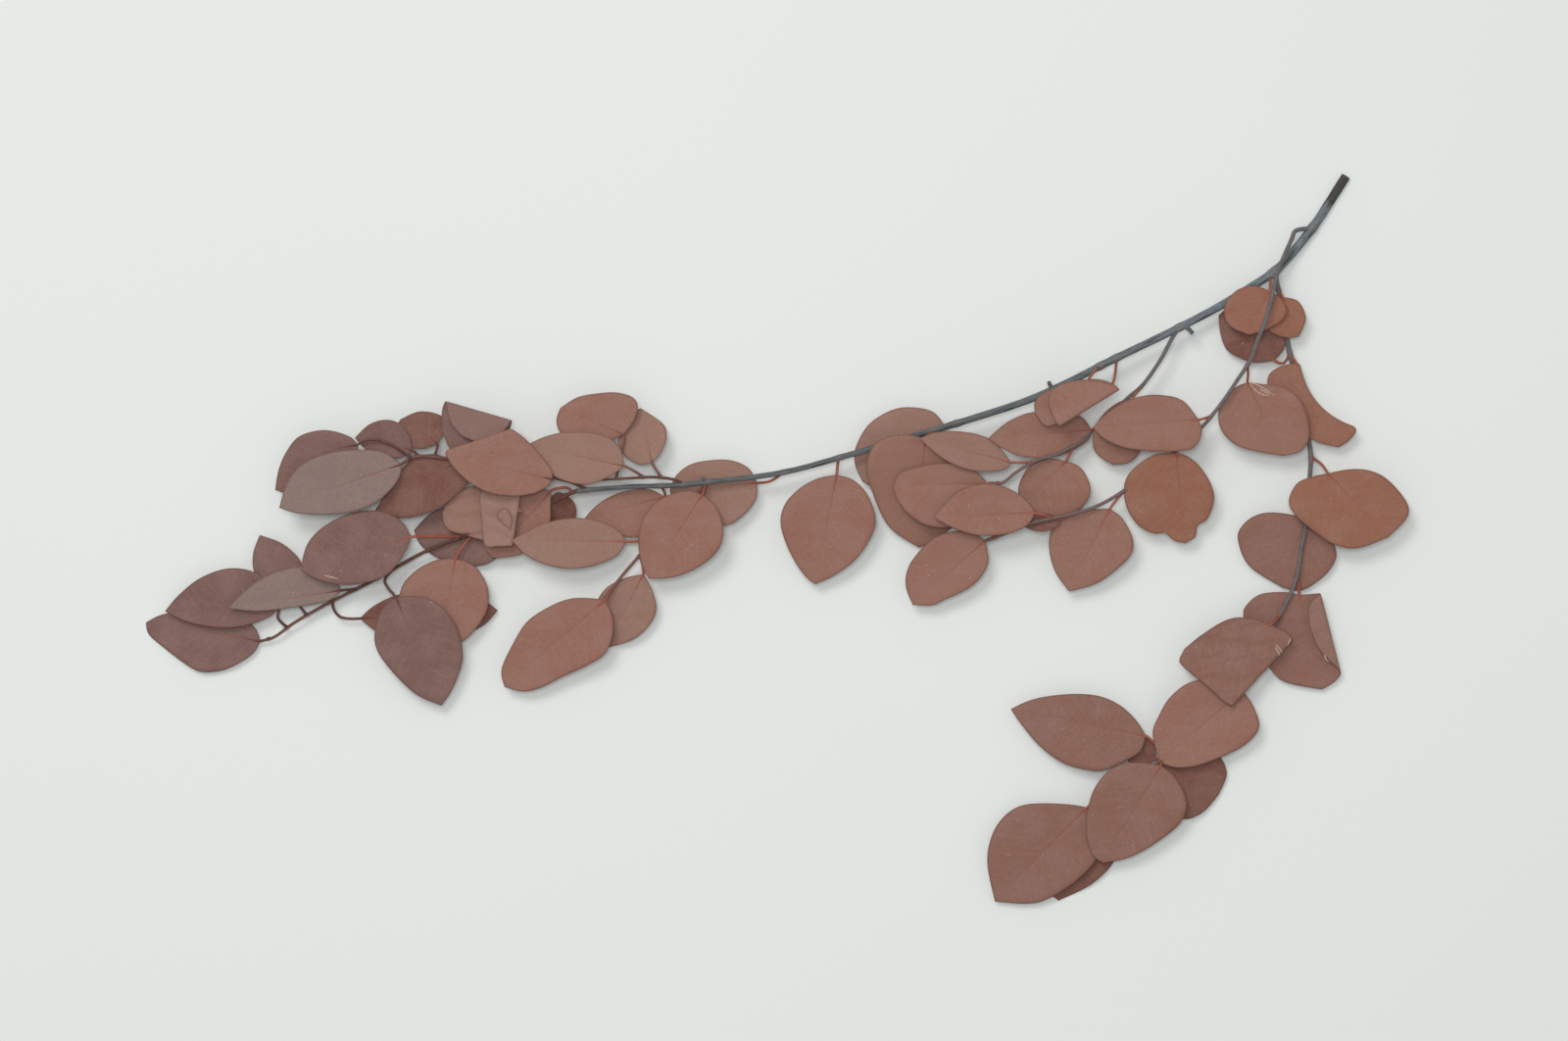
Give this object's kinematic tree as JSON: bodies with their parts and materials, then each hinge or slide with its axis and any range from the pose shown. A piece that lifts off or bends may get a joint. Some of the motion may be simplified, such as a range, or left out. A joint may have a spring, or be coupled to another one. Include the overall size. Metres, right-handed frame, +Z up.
{
  "type": "eucalyptus branch",
  "caption": "Preserved eucalyptus branch lying flat: a slim woody stem with side shoots of round to pointed dusty brown leaves, some curled or folded over.",
  "frame": {"origin": "middle of the box round the branch, on the surface it lies on", "axes": "+X along the branch's length towards the cut end of its stem, +Y across it, +Z up from the surface"},
  "size_m": [0.6418, 0.3716, 0.0302],
  "materials": {
    "bark": "matte grey bark",
    "dry_leaf": "matte, dusty terracotta brown",
    "mauve_leaf": "matte, mauve brown"
  },
  "bodies": {
    "root": {"main_stem": "bark", "right_shoot": "dry_leaf", "middle_shoot": "dry_leaf", "inner_shoot": "dry_leaf", "lower_shoot": "dry_leaf", "upper_shoot": "dry_leaf", "left_upper_shoot": "mauve_leaf", "left_lower_shoot": "mauve_leaf", "stem_leaf_1": "dry_leaf", "stem_leaf_2": "dry_leaf", "stem_leaf_3": "dry_leaf", "stem_leaf_4": "dry_leaf", "stem_leaf_5": "dry_leaf", "stem_leaf_6": "dry_leaf", "stem_leaf_7": "dry_leaf", "stem_leaf_8": "dry_leaf"}
  },
  "joints": []
}
